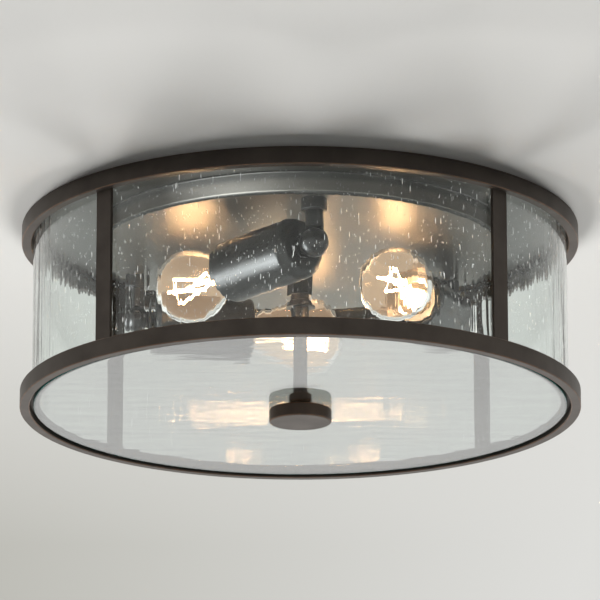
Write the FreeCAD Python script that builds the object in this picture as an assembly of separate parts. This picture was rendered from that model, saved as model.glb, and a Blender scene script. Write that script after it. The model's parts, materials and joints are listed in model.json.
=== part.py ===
"""Porch ceiling lantern: a drum of seeded glass between two flat bronze rings.

The origin is on the drum's axis in the ceiling plane, +Z is up, and -Y is the side towards
the viewer. A lowered ceiling pan carries three swivelling lamp sockets in a pinwheel, and a
centre rod holds the bottom glass up with a plain knob. All lengths are in millimetres.
"""
import FreeCAD, Part
import math
import os

Vector = FreeCAD.Vector

# ---- driving dimensions -------------------------------------------------------------------

# drum frame: two rings joined by flat strips
RING_OUTER_D = 457.0
FRAME_H = 153.0
RING_H = 14.3
RING_T = 8.0
RING_BEVEL = 0.7
LEDGE_T = 2.0
LEDGE_W = 8.0
POST_COUNT = 4
POST_FIRST_DEG = 45.0
POST_W = 16.0
POST_T = 2.7
POST_INSET = 6.4
POST_END_GAP = 0.1
POST_LOW_MARGIN = 2.0
POST_SCREW_R = 1.75
POST_SCREW_HEAD_R = 2.6
POST_SCREW_HEAD_T = 1.2
POST_SCREW_BITE = 4.6

# ceiling pan
PAN_SHEET = 1.5
PAN_DEPTH = 20.0
PLATFORM_R = 168.0
PAN_CORNER_R = 3.0
PAN_EDGE_GAP = 0.3
PAN_SCREW_COUNT = 4
PAN_SCREW_R = 1.8
PAN_SCREW_HEAD_R = 3.0
PAN_SCREW_HEAD_T = 1.2
PAN_SCREW_END_GAP = 0.1
PAN_SCREW_IN = 5.0

# glass and gaskets
CYLINDER_WALL = 3.5
CYLINDER_GAP = 0.5
TOP_GASKET_T = 1.5
CYLINDER_GASKET_T = 1.0
GASKET_MARGIN = 0.3
BOTTOM_GLASS_EDGE_GAP = 3.3
BOTTOM_GLASS_T = 4.0
BOTTOM_GLASS_RECESS = 1.5
BOTTOM_GASKET_T = 1.0
BOTTOM_GLASS_BEVEL = 0.4

# crossbar on the ceiling box
CROSSBAR_END_MARGIN = 4.55
CROSSBAR_W = 20.0
CROSSBAR_T = 2.5
BOX_SLOT_SPACING = 88.9
BOX_SLOT_W = 4.8
BOX_SLOT_L = 14.0
EARTH_SCREW_X = 22.0
EARTH_SCREW_R = 2.0
EARTH_SCREW_HEAD_R = 4.2
EARTH_SCREW_HEAD_T = 2.2

# centre stack: nipple, nuts, coupling, cup washer, rod, collar and knob
NIPPLE_R = 4.8
NIPPLE_BORE_R = 2.8
NIPPLE_TO_ROD_GAP = 2.0
FIT_GAP = 0.05
LOCK_NUT_AF = 15.9
LOCK_NUT_T = 4.0
COUPLING_AF = 16.4
COUPLING_END_DEPTH = 55.6
COUPLING_NECK_R = 6.4
COUPLING_NECK_L = 4.4
CUP_WASHER_R = 10.7
CUP_WASHER_H = 6.0
CUP_WASHER_LIP = 1.2
ROD_R = 5.8
ROD_SPIGOT_L = 18.0
COLLAR_R = 9.2
COLLAR_H = 7.7
COLLAR_ABOVE_GLASS = 3.8
COLLAR_ROUND = 1.0
GLASS_WASHER_R = 9.0
UPPER_WASHER_T = 1.0
LOWER_WASHER_T = 0.5
GLASS_HOLE_GAP = 0.8
KNOB_R = 25.5
KNOB_H = 11.0
KNOB_ROUND = 1.4
KNOB_FLOOR_T = 1.5
KNOB_RUN_GAP = 0.08
ROD_END_GAP = 0.5

# lamp sockets
SOCKET_COUNT = 3
SOCKET_PITCH_R = 152.4
SOCKET_FIRST_DEG = 273.7
SOCKET_AIM_DEG = (38.6, 36.2, 37.5)
SOCKET_REST_DROOP_DEG = 2.0
PIVOT_DEPTH = 56.0
SWIVEL_BALL_R = 11.8
SWIVEL_GAP = 0.3
SWIVEL_NECK_R = 7.0
STEM_R = 7.5
STEM_ABOVE_LOCK_NUT = 0.7
STEM_BORE_R = 2.6
STEM_BALL_GAP = 0.5
SOCKET_NUT_R = 10.2
SOCKET_NUT_H = 10.0
SOCKET_NUT_ROUND = 1.2
SOCKET_LOCK_NUT_T = 4.0
PIVOT_SCREW_R = 2.0
PIVOT_SCREW_HEAD_R = 4.0
PIVOT_SCREW_HEAD_T = 2.6
PIVOT_SCREW_SINK = 4.2
PIVOT_SCREW_END = 8.0
PIVOT_RUN_GAP = 0.06
SEAT_GAP = 0.3
SEAT_R = 9.0
SEAT_T = 2.0
CUP_R = 25.0
CUP_L = 84.0
CUP_WALL = 1.2
CUP_BACK_ROUND = 8.0
CUP_LIP_ROUND = 3.0
HOLDER_SPIGOT_L = 18.0
HOLDER_BACK_R = 12.0
HOLDER_BARREL_R = 19.0
HOLDER_BARREL_L = 45.0
HOLDER_INSET = 3.0
SHELL_RUN_GAP = 0.3
SHELL_T = 0.4
SHELL_L = 28.0
SHELL_FRONT_GAP = 1.0
SHELL_BACK_GAP = 2.0
CONTACT_R = 5.0
CONTACT_T = 0.8

# bulbs
BULB_R = 30.0
BULB_WALL = 1.0
BULB_NECK_GAP = 0.1
BULB_NECK_L = 4.6
BULB_FOOT_IN_BASE = 1.5
BULB_CONE_DEG = 23.0
BULB_NECK_BLEND = 14.0
BASE_R = 13.0
BASE_INSIDE_CUP = 3.1
BASE_L = 26.0
BASE_SHELL_T = 0.35
BASE_TIP_L = 3.6
BASE_TIP_R = 4.5
BASE_INSULATOR_R = 9.5
BASE_INSULATOR_L = 2.4
MOUNT_FOOT_R = 9.0
MOUNT_FOOT_L = 3.0
MOUNT_TUBE_R = 3.2
MOUNT_TUBE_L = 26.0
MOUNT_ROD_R = 1.5
SUPPORT_R = 0.5
FILAMENT_COUNT = 4
FILAMENT_R = 1.1
FILAMENT_L = 36.0
FILAMENT_LOW_R = 7.0
FILAMENT_HIGH_R = 10.0
FILAMENT_TWIST_DEG = 75.0
FILAMENT_BACK = 18.0
HUB_R = 2.4

# leads inside the pan
LEAD_R = 1.0
LEAD_PAIR_OFFSET = 1.15
LEAD_START_ABOVE_PIVOT = 16.0
BLACK_LEAD_DEPTH = 8.6
WHITE_LEAD_DEPTH = 5.6
LEAD_BEND_SHARE = 0.45
LEAD_EXIT_BEND_R = 3.0
WIRE_NUT_L = 22.0
WIRE_NUT_WALL = 0.8
WIRE_NUT_FLARE = 1.0
WIRE_NUT_MOUTH_WALL = 1.6
WIRE_NUT_FLOOR = 1.2
WIRE_NUT_RADIUS_AT = 105.0
LEAD_INSERT = 14.0
LEAD_SIDE_GAP = 0.25
LEAD_NUT_GAP = 0.1
LEAD_APPROACH = 32.0
LEAD_DETOUR_R = 27.0

# ---- places worked out from them ----------------------------------------------------------

RING_R = RING_OUTER_D / 2
RING_INNER_R = RING_R - RING_T
LEDGE_R = RING_INNER_R - LEDGE_W
POST_OUTER_R = RING_R - POST_INSET
POST_INNER_R = POST_OUTER_R - POST_T
CYLINDER_R = POST_INNER_R - CYLINDER_GAP
CYLINDER_INNER_R = CYLINDER_R - CYLINDER_WALL
BOTTOM_GLASS_R = RING_INNER_R - BOTTOM_GLASS_EDGE_GAP
CROSSBAR_L = BOX_SLOT_SPACING + BOX_SLOT_L + 2 * CROSSBAR_END_MARGIN

TOP_LEDGE_Z = -PAN_SHEET - LEDGE_T
CYLINDER_TOP_Z = TOP_LEDGE_Z - TOP_GASKET_T
GLASS_LOW_Z = -FRAME_H + BOTTOM_GLASS_RECESS
GLASS_TOP_Z = GLASS_LOW_Z + BOTTOM_GLASS_T
LOW_LEDGE_Z = GLASS_TOP_Z + BOTTOM_GASKET_T
LOW_LEDGE_TOP_Z = LOW_LEDGE_Z + LEDGE_T
CYLINDER_LOW_Z = LOW_LEDGE_TOP_Z + CYLINDER_GASKET_T
POST_TOP_Z = TOP_LEDGE_Z - POST_END_GAP
POST_LOW_Z = -FRAME_H + POST_LOW_MARGIN
LOW_RING_TOP_Z = -FRAME_H + RING_H
POST_SCREW_HIGH_Z = (POST_TOP_Z - RING_H) / 2
POST_SCREW_LOW_Z = (LOW_LEDGE_TOP_Z + LOW_RING_TOP_Z) / 2

PLATFORM_Z = -PAN_DEPTH
PLATFORM_TOP_Z = PLATFORM_Z + PAN_SHEET
COUPLING_TOP_Z = PLATFORM_Z - LOCK_NUT_T
COUPLING_LOW_Z = -COUPLING_END_DEPTH
NECK_LOW_Z = COUPLING_LOW_Z - COUPLING_NECK_L
ROD_TOP_Z = NECK_LOW_Z - CUP_WASHER_H
NIPPLE_LOW_Z = ROD_TOP_Z + ROD_SPIGOT_L + NIPPLE_TO_ROD_GAP
COLLAR_LOW_Z = GLASS_TOP_Z + COLLAR_ABOVE_GLASS
COLLAR_TOP_Z = COLLAR_LOW_Z + COLLAR_H
KNOB_TOP_Z = GLASS_LOW_Z - LOWER_WASHER_T
KNOB_LOW_Z = KNOB_TOP_Z - KNOB_H
KNOB_BORE_Z = KNOB_LOW_Z + KNOB_FLOOR_T
ROD_END_Z = KNOB_BORE_Z + ROD_END_GAP

# places along the cup's axis are counted from the swivel's pivot
CUP_BACK = SWIVEL_BALL_R + SEAT_GAP + SEAT_T
CUP_MOUTH = CUP_BACK + CUP_L
HOLDER_BACK = CUP_BACK + CUP_WALL
HOLDER_FRONT = CUP_MOUTH - HOLDER_INSET
SHELL_FRONT = HOLDER_FRONT - SHELL_FRONT_GAP
SHELL_BACK = SHELL_FRONT - SHELL_L
SHELL_BORE_R = BASE_R + SHELL_RUN_GAP
SOCKET_NUT_LOW_Z = PLATFORM_Z - SOCKET_NUT_H
STEM_TOP_Z = PLATFORM_TOP_Z + SOCKET_LOCK_NUT_T + STEM_ABOVE_LOCK_NUT
BASE_FRONT = CUP_MOUTH - BASE_INSIDE_CUP
BASE_BACK = BASE_FRONT - BASE_L
BULB_NECK_R = BASE_R - BULB_NECK_GAP
BULB_NECK_START = BASE_FRONT - BULB_FOOT_IN_BASE
BULB_NECK_END = BASE_FRONT + BULB_NECK_L
BULB_SLOPE = math.radians(BULB_CONE_DEG)
BULB_CONE_END = BULB_NECK_END + (BULB_R * math.cos(BULB_SLOPE) - BULB_NECK_R) / math.tan(BULB_SLOPE)
BULB_CENTRE = BULB_CONE_END + BULB_R * math.sin(BULB_SLOPE)
MOUNT_START = BULB_NECK_START + BULB_WALL
FILAMENT_START = BULB_CENTRE - FILAMENT_BACK

# three leads side by side in a wire nut
LEAD_BUNDLE_R = (2 * LEAD_R + LEAD_SIDE_GAP) / math.sqrt(3)
WIRE_NUT_END_BORE_R = LEAD_BUNDLE_R + LEAD_R + LEAD_NUT_GAP
WIRE_NUT_MOUTH_BORE_R = WIRE_NUT_END_BORE_R + WIRE_NUT_FLARE
WIRE_NUT_END_R = WIRE_NUT_END_BORE_R + WIRE_NUT_WALL
WIRE_NUT_MOUTH_R = WIRE_NUT_MOUTH_BORE_R + WIRE_NUT_MOUTH_WALL

AXIS_X = Vector(1, 0, 0)
AXIS_Y = Vector(0, 1, 0)
AXIS_Z = Vector(0, 0, 1)
ORIGIN = Vector(0, 0, 0)


# ---- general shapes -----------------------------------------------------------------------

def rounded_edges(points, radii, closed):
    """Straight runs through the points, with a tangent arc of the given radius at each."""
    count = len(points)
    starts = list(points)
    ends = list(points)
    arcs = {}
    for i, point in enumerate(points):
        is_end = not closed and i in (0, count - 1)
        if radii[i] <= 0 or is_end:
            continue
        back = (points[i - 1] - point).normalize()
        ahead = (points[(i + 1) % count] - point).normalize()
        half = back.getAngle(ahead) / 2
        reach = radii[i] / math.tan(half)
        middle = (back + ahead).normalize() * (radii[i] / math.sin(half) - radii[i])
        ends[i] = point + back * reach
        starts[i] = point + ahead * reach
        arcs[i] = Part.Arc(ends[i], point + middle, starts[i]).toShape()
    edges = []
    for i in range(count if closed else count - 1):
        after = (i + 1) % count
        if starts[i].distanceToPoint(ends[after]) > 1e-6:
            edges.append(Part.LineSegment(starts[i], ends[after]).toShape())
        if after in arcs:
            edges.append(arcs[after])
    return edges


def turned(corners, axis=AXIS_Z):
    """A solid of revolution; each corner is (along the axis, radius) or has a rounding too."""
    points = []
    for corner in corners:
        along, radius = corner[0], corner[1]
        points.append(axis * along + (AXIS_X if axis == AXIS_Z else AXIS_Z) * radius)
    radii = [corner[2] if len(corner) > 2 else 0 for corner in corners]
    outline = Part.Wire(rounded_edges(points, radii, True))
    return Part.Face(outline).revolve(ORIGIN, axis, 360)


def tube(outer_r, inner_r, low, high, axis=AXIS_Z):
    """A plain ring or tube between two places on an axis."""
    corners = [(low, outer_r), (high, outer_r), (high, inner_r), (low, inner_r)]
    return turned(corners, axis)


def rod(radius, low, high, axis=AXIS_Z, centre=ORIGIN):
    """A plain round bar between two places on an axis through the centre."""
    return Part.makeCylinder(radius, high - low, centre + axis * low, axis)


def block(low, high):
    """A box between two corners."""
    size = high - low
    return Part.makeBox(size.x, size.y, size.z, low)


def hexagon(across_flats, low, high, centre=ORIGIN):
    """A six-sided prism along Z."""
    corner_r = across_flats / math.sqrt(3)
    corners = []
    for i in range(7):
        turn = math.radians(60 * i)
        corners.append(centre + Vector(corner_r * math.cos(turn), corner_r * math.sin(turn), low))
    return Part.Face(Part.makePolygon(corners)).extrude(AXIS_Z * (high - low))


def pipe(points, radii, radius):
    """A round tube along straight runs joined by tangent arcs."""
    path = Part.Wire(rounded_edges(points, radii, False))
    section = Part.Wire(Part.makeCircle(radius, points[0], points[1] - points[0]))
    return path.makePipeShell([section], True, False)


def around(shape, degrees):
    """A copy of the shape, turned about the drum's axis."""
    copy = shape.copy()
    copy.rotate(ORIGIN, AXIS_Z, degrees)
    return copy


def post_angles():
    return [POST_FIRST_DEG + 360.0 / POST_COUNT * i for i in range(POST_COUNT)]


# ---- drum frame ---------------------------------------------------------------------------

def post_screw(height):
    """A countersunk screw that points outwards along X, with its head in the post's back."""
    corners = [(POST_INNER_R, 0), (POST_INNER_R, POST_SCREW_HEAD_R),
               (POST_INNER_R + POST_SCREW_HEAD_T, POST_SCREW_R),
               (POST_OUTER_R + POST_SCREW_BITE, POST_SCREW_R),
               (POST_OUTER_R + POST_SCREW_BITE, 0)]
    screw = turned(corners, AXIS_X)
    screw.translate(AXIS_Z * height)
    return screw


def post_screw_hole(height):
    """The countersunk hole for a post screw, a fit gap larger all round."""
    corners = [(POST_INNER_R - FIT_GAP, 0), (POST_INNER_R - FIT_GAP, POST_SCREW_HEAD_R + 2 * FIT_GAP),
               (POST_INNER_R + POST_SCREW_HEAD_T, POST_SCREW_R + FIT_GAP),
               (POST_OUTER_R + POST_SCREW_BITE + FIT_GAP, POST_SCREW_R + FIT_GAP),
               (POST_OUTER_R + POST_SCREW_BITE + FIT_GAP, 0)]
    hole = turned(corners, AXIS_X)
    hole.translate(AXIS_Z * height)
    return hole


def post_pocket():
    """The space that one post and its screws take out of both rings."""
    half = POST_W / 2 + FIT_GAP
    pocket = block(Vector(POST_INNER_R, -half, POST_LOW_Z - FIT_GAP),
                   Vector(POST_OUTER_R, half, POST_TOP_Z + FIT_GAP))
    for height in (POST_SCREW_HIGH_Z, POST_SCREW_LOW_Z):
        pocket = pocket.fuse(post_screw_hole(height))
    return pocket


def post():
    """A flat strip in the X direction, drilled for its two screws."""
    strip = block(Vector(POST_INNER_R, -POST_W / 2, POST_LOW_Z),
                  Vector(POST_OUTER_R, POST_W / 2, POST_TOP_Z))
    return strip.cut(post_screw_hole(POST_SCREW_HIGH_Z)).cut(post_screw_hole(POST_SCREW_LOW_Z))


def band(top, ledge_low):
    """A flat band with bevelled edges and an inner ledge."""
    low = top - RING_H
    corners = [(top - RING_BEVEL, RING_R), (low + RING_BEVEL, RING_R), (low, RING_R - RING_BEVEL),
               (low, RING_INNER_R + RING_BEVEL), (low + RING_BEVEL, RING_INNER_R),
               (ledge_low, RING_INNER_R), (ledge_low, LEDGE_R),
               (ledge_low + LEDGE_T, LEDGE_R), (ledge_low + LEDGE_T, RING_INNER_R),
               (top, RING_INNER_R), (top, RING_R - RING_BEVEL)]
    return turned(corners)


def top_ring():
    ring = band(0, TOP_LEDGE_Z)
    for angle in post_angles():
        ring = ring.cut(around(post_pocket(), angle))
    for place in pan_screw_places():
        ring = ring.cut(rod(PAN_SCREW_R + FIT_GAP, TOP_LEDGE_Z - 1, 0, AXIS_Z, place))
    return ring


def bottom_ring():
    ring = band(LOW_RING_TOP_Z, LOW_LEDGE_Z)
    for angle in post_angles():
        ring = ring.cut(around(post_pocket(), angle))
    return ring


def post_screws():
    screws = []
    for angle in post_angles():
        for height in (POST_SCREW_HIGH_Z, POST_SCREW_LOW_Z):
            screws.append(around(post_screw(height), angle))
    return Part.makeCompound(screws)


# ---- ceiling pan and crossbar -------------------------------------------------------------

def pan_screw_places():
    places = []
    for i in range(PAN_SCREW_COUNT):
        turn = math.radians(360.0 / PAN_SCREW_COUNT * i)
        places.append(Vector(math.cos(turn), math.sin(turn), 0) * (RING_INNER_R - PAN_SCREW_IN))
    return places


def pan_screw_hole(place):
    """The countersunk hole for one flange screw, open above the ceiling plane."""
    corners = [(FIT_GAP, 0), (FIT_GAP, PAN_SCREW_HEAD_R + 2 * FIT_GAP),
               (-PAN_SCREW_HEAD_T, PAN_SCREW_R + FIT_GAP),
               (TOP_LEDGE_Z - 1, PAN_SCREW_R + FIT_GAP), (TOP_LEDGE_Z - 1, 0)]
    hole = turned(corners)
    hole.translate(place)
    return hole


def pan_screws():
    low = TOP_LEDGE_Z + PAN_SCREW_END_GAP
    corners = [(0, 0), (0, PAN_SCREW_HEAD_R), (-PAN_SCREW_HEAD_T, PAN_SCREW_R),
               (low, PAN_SCREW_R), (low, 0)]
    screws = []
    for place in pan_screw_places():
        screw = turned(corners)
        screw.translate(place)
        screws.append(screw)
    return Part.makeCompound(screws)


def ceiling_pan():
    """A spun sheet: flange at the ceiling, upright wall, lowered flat platform."""
    edge = RING_INNER_R - PAN_EDGE_GAP
    corners = [(0, edge), (-PAN_SHEET, edge), (-PAN_SHEET, PLATFORM_R, PAN_CORNER_R - PAN_SHEET),
               (PLATFORM_Z, PLATFORM_R, PAN_CORNER_R), (PLATFORM_Z, NIPPLE_R + FIT_GAP),
               (PLATFORM_TOP_Z, NIPPLE_R + FIT_GAP),
               (PLATFORM_TOP_Z, PLATFORM_R - PAN_SHEET, PAN_CORNER_R - PAN_SHEET),
               (0, PLATFORM_R - PAN_SHEET, PAN_CORNER_R)]
    pan = turned(corners)
    for place in pan_screw_places():
        pan = pan.cut(pan_screw_hole(place))
    for place in socket_places():
        pan = pan.cut(rod(NIPPLE_R + FIT_GAP, PLATFORM_Z - 1, 0, AXIS_Z, place))
    return pan


def crossbar():
    """The slotted bar that two box screws hold against the ceiling box."""
    half_l = CROSSBAR_L / 2
    half_w = CROSSBAR_W / 2
    bar = block(Vector(-half_l, -half_w, -CROSSBAR_T), Vector(half_l, half_w, 0))
    slot_r = BOX_SLOT_W / 2
    straight = BOX_SLOT_L / 2 - slot_r
    for side in (-1, 1):
        middle = Vector(side * BOX_SLOT_SPACING / 2, 0, 0)
        slot = block(middle + Vector(-straight, -slot_r, -CROSSBAR_T - 1),
                     middle + Vector(straight, slot_r, 1))
        for end in (-straight, straight):
            slot = slot.fuse(rod(slot_r, -CROSSBAR_T - 1, 1, AXIS_Z, middle + AXIS_X * end))
        bar = bar.cut(slot)
    bar = bar.cut(rod(NIPPLE_R + FIT_GAP, -CROSSBAR_T - 1, 1))
    screw_place = AXIS_X * EARTH_SCREW_X
    return bar.cut(rod(EARTH_SCREW_R + FIT_GAP, -CROSSBAR_T - 1, 1, AXIS_Z, screw_place))


def earth_screw():
    place = AXIS_X * EARTH_SCREW_X
    head_top = -CROSSBAR_T
    head = rod(EARTH_SCREW_HEAD_R, head_top - EARTH_SCREW_HEAD_T, head_top, AXIS_Z, place)
    return head.fuse(rod(EARTH_SCREW_R, head_top - EARTH_SCREW_HEAD_T, 0, AXIS_Z, place))


# ---- centre stack -------------------------------------------------------------------------

def centre_nipple():
    return tube(NIPPLE_R, NIPPLE_BORE_R, NIPPLE_LOW_Z, 0)


def lock_nuts():
    """One nut under the crossbar and one on each side of the platform."""
    nuts = []
    for top in (-CROSSBAR_T, PLATFORM_TOP_Z + LOCK_NUT_T, PLATFORM_Z):
        nut = hexagon(LOCK_NUT_AF, top - LOCK_NUT_T, top)
        nuts.append(nut.cut(rod(NIPPLE_R + FIT_GAP, top - LOCK_NUT_T - 1, top + 1)))
    return Part.makeCompound(nuts)


def rod_coupling():
    body = hexagon(COUPLING_AF, COUPLING_LOW_Z, COUPLING_TOP_Z)
    body = body.fuse(rod(COUPLING_NECK_R, NECK_LOW_Z, COUPLING_LOW_Z))
    return body.cut(rod(NIPPLE_R + FIT_GAP, NECK_LOW_Z - 1, COUPLING_TOP_Z + 1))


def cup_washer():
    """A cup-shaped washer, wide at its foot, that hides the top of the rod."""
    bore = NIPPLE_R + FIT_GAP
    corners = [(NECK_LOW_Z, bore), (NECK_LOW_Z, COUPLING_NECK_R),
               (NECK_LOW_Z - CUP_WASHER_LIP, COUPLING_NECK_R + 2 * CUP_WASHER_LIP, CUP_WASHER_LIP),
               (ROD_TOP_Z + CUP_WASHER_LIP, CUP_WASHER_R, CUP_WASHER_LIP / 2),
               (ROD_TOP_Z, CUP_WASHER_R), (ROD_TOP_Z, bore)]
    return turned(corners)


def centre_rod():
    """The rod, with a thinner threaded spigot at each end."""
    body = rod(ROD_R, COLLAR_TOP_Z, ROD_TOP_Z)
    body = body.fuse(rod(NIPPLE_R, ROD_TOP_Z, ROD_TOP_Z + ROD_SPIGOT_L))
    return body.fuse(rod(NIPPLE_R, ROD_END_Z, COLLAR_TOP_Z))


def collar_nut():
    bore = NIPPLE_R + FIT_GAP
    corners = [(COLLAR_TOP_Z, bore), (COLLAR_TOP_Z, COLLAR_R, COLLAR_ROUND),
               (COLLAR_LOW_Z, COLLAR_R, COLLAR_ROUND), (COLLAR_LOW_Z, bore)]
    return turned(corners)


def bottom_glass():
    bore = NIPPLE_R + GLASS_HOLE_GAP
    bevel = BOTTOM_GLASS_BEVEL
    corners = [(GLASS_TOP_Z, bore), (GLASS_TOP_Z, BOTTOM_GLASS_R - bevel),
               (GLASS_TOP_Z - bevel, BOTTOM_GLASS_R), (GLASS_LOW_Z + bevel, BOTTOM_GLASS_R),
               (GLASS_LOW_Z, BOTTOM_GLASS_R - bevel), (GLASS_LOW_Z, bore)]
    return turned(corners)


def glass_washers():
    bore = NIPPLE_R + KNOB_RUN_GAP
    upper = tube(GLASS_WASHER_R, bore, GLASS_TOP_Z, GLASS_TOP_Z + UPPER_WASHER_T)
    lower = tube(GLASS_WASHER_R, bore, KNOB_TOP_Z, GLASS_LOW_Z)
    return Part.makeCompound([upper, lower])


def finial_knob():
    """A plain disc with a blind threaded bore in its top."""
    bore = NIPPLE_R + KNOB_RUN_GAP
    corners = [(KNOB_TOP_Z, bore), (KNOB_TOP_Z, KNOB_R, KNOB_ROUND),
               (KNOB_LOW_Z, KNOB_R, KNOB_ROUND), (KNOB_LOW_Z, 0),
               (KNOB_BORE_Z, 0), (KNOB_BORE_Z, bore)]
    return turned(corners)


# ---- glass cylinder and gaskets -----------------------------------------------------------

def glass_cylinder():
    return tube(CYLINDER_R, CYLINDER_INNER_R, CYLINDER_LOW_Z, CYLINDER_TOP_Z)


def gasket(low, thickness, outer_r):
    return tube(outer_r, LEDGE_R + GASKET_MARGIN, low, low + thickness)


# ---- lamp sockets -------------------------------------------------------------------------

def socket_angle(index):
    return SOCKET_FIRST_DEG + 360.0 / SOCKET_COUNT * index


def socket_places():
    places = []
    for index in range(SOCKET_COUNT):
        turn = math.radians(socket_angle(index))
        places.append(Vector(math.cos(turn), math.sin(turn), 0) * SOCKET_PITCH_R)
    return places


def place_socket(shape, index, droops):
    """Moves a piece from the pivot's own frame, with the cup along +X, to its socket."""
    placed = shape.copy()
    if droops:
        placed.rotate(ORIGIN, AXIS_Y, SOCKET_REST_DROOP_DEG)
    aim = SOCKET_AIM_DEG[index % len(SOCKET_AIM_DEG)]
    placed.rotate(ORIGIN, AXIS_Z, socket_angle(index) + 180 + aim)
    placed.translate(socket_places()[index] - AXIS_Z * PIVOT_DEPTH)
    return placed


def half_space(side):
    """A block that holds one half of the swivel ball; side is 1 for +Y and -1 for -Y."""
    reach = 4 * SWIVEL_BALL_R
    inner = side * SWIVEL_GAP / 2
    outer = side * reach
    return block(Vector(-reach, min(inner, outer), -reach), Vector(reach, max(inner, outer), reach))


def socket_stem():
    """The stem, whose lower end is the fixed half of the swivel ball."""
    nut_low = PIVOT_DEPTH + SOCKET_NUT_LOW_Z
    top = PIVOT_DEPTH + STEM_TOP_Z
    ball_top = SWIVEL_BALL_R + STEM_BALL_GAP
    fixed_half = Part.makeSphere(SWIVEL_BALL_R).fuse(rod(STEM_R, 0, ball_top))
    stem = fixed_half.common(half_space(-1)).fuse(rod(STEM_R, ball_top, nut_low))
    stem = stem.fuse(rod(NIPPLE_R, nut_low, top))
    stem = stem.cut(rod(STEM_BORE_R, LEAD_START_ABOVE_PIVOT, top + 1))
    head_r = PIVOT_SCREW_HEAD_R + FIT_GAP
    head_seat = -SWIVEL_BALL_R + PIVOT_SCREW_SINK + PIVOT_SCREW_HEAD_T
    stem = stem.cut(rod(head_r, -2 * SWIVEL_BALL_R, head_seat, AXIS_Y))
    return stem.cut(rod(PIVOT_SCREW_R + FIT_GAP, -SWIVEL_BALL_R, SWIVEL_BALL_R, AXIS_Y))


def socket_nuts():
    """The round nut under the platform and the hex nut above it."""
    low = PIVOT_DEPTH + SOCKET_NUT_LOW_Z
    high = PIVOT_DEPTH + PLATFORM_Z
    bore = NIPPLE_R + FIT_GAP
    corners = [(low, bore), (low, SOCKET_NUT_R, SOCKET_NUT_ROUND), (high, SOCKET_NUT_R),
               (high, bore)]
    lock_low = PIVOT_DEPTH + PLATFORM_TOP_Z
    lock_high = lock_low + SOCKET_LOCK_NUT_T
    lock = hexagon(LOCK_NUT_AF, lock_low, lock_high).cut(rod(bore, lock_low - 1, lock_high + 1))
    return Part.makeCompound([turned(corners), lock])


def pivot_screw():
    """The screw that joins the swivel's halves; its head sits in the fixed half."""
    head_low = -SWIVEL_BALL_R + PIVOT_SCREW_SINK
    head = rod(PIVOT_SCREW_HEAD_R, head_low, head_low + PIVOT_SCREW_HEAD_T, AXIS_Y)
    return head.fuse(rod(PIVOT_SCREW_R, head_low, PIVOT_SCREW_END, AXIS_Y))


def swivel_knuckle():
    """The moving half of the swivel ball, with the seat and spigot that carry the cup."""
    moving = Part.makeSphere(SWIVEL_BALL_R)
    moving = moving.fuse(rod(SWIVEL_NECK_R, 0, CUP_BACK - SEAT_T, AXIS_X)).common(half_space(1))
    moving = moving.fuse(rod(SEAT_R, CUP_BACK - SEAT_T, CUP_BACK, AXIS_X))
    moving = moving.fuse(rod(NIPPLE_R, CUP_BACK, CUP_BACK + HOLDER_SPIGOT_L, AXIS_X))
    bore_end = PIVOT_SCREW_END + PIVOT_RUN_GAP
    return moving.cut(rod(PIVOT_SCREW_R + PIVOT_RUN_GAP, 0, bore_end, AXIS_Y))


def socket_cup():
    """A round metal cup with a rounded back and a lip turned in at its mouth."""
    mouth_r = CUP_R - CUP_LIP_ROUND
    inner_r = CUP_R - CUP_WALL
    bore = NIPPLE_R + FIT_GAP
    corners = [(CUP_BACK, bore), (CUP_BACK, CUP_R, CUP_BACK_ROUND), (CUP_MOUTH, CUP_R, CUP_LIP_ROUND),
               (CUP_MOUTH, mouth_r), (CUP_MOUTH - CUP_WALL, mouth_r),
               (CUP_MOUTH - CUP_WALL, inner_r, CUP_LIP_ROUND - CUP_WALL),
               (HOLDER_BACK, inner_r, CUP_BACK_ROUND - CUP_WALL), (HOLDER_BACK, bore)]
    return turned(corners, AXIS_X)


def lamp_holder():
    """The ceramic holder: a narrow back boss and a barrel with the bore for the screw shell."""
    shell_r = SHELL_BORE_R + SHELL_T + FIT_GAP
    barrel_back = HOLDER_FRONT - HOLDER_BARREL_L
    floor = SHELL_BACK - SHELL_BACK_GAP
    spigot_end = CUP_BACK + HOLDER_SPIGOT_L + FIT_GAP
    spigot_r = NIPPLE_R + FIT_GAP
    corners = [(HOLDER_BACK, spigot_r), (HOLDER_BACK, HOLDER_BACK_R), (barrel_back, HOLDER_BACK_R),
               (barrel_back, HOLDER_BARREL_R), (HOLDER_FRONT, HOLDER_BARREL_R),
               (HOLDER_FRONT, shell_r), (floor, shell_r), (floor, 0), (spigot_end, 0),
               (spigot_end, spigot_r)]
    return turned(corners, AXIS_X)


def lamp_contacts():
    """The brass screw shell, and the centre contact on the floor of its bore."""
    floor = SHELL_BACK - SHELL_BACK_GAP
    shell = tube(SHELL_BORE_R + SHELL_T, SHELL_BORE_R, SHELL_BACK, SHELL_FRONT, AXIS_X)
    contact = rod(CONTACT_R, floor, floor + CONTACT_T, AXIS_X)
    return Part.makeCompound([shell, contact])


# ---- bulbs --------------------------------------------------------------------------------

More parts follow.
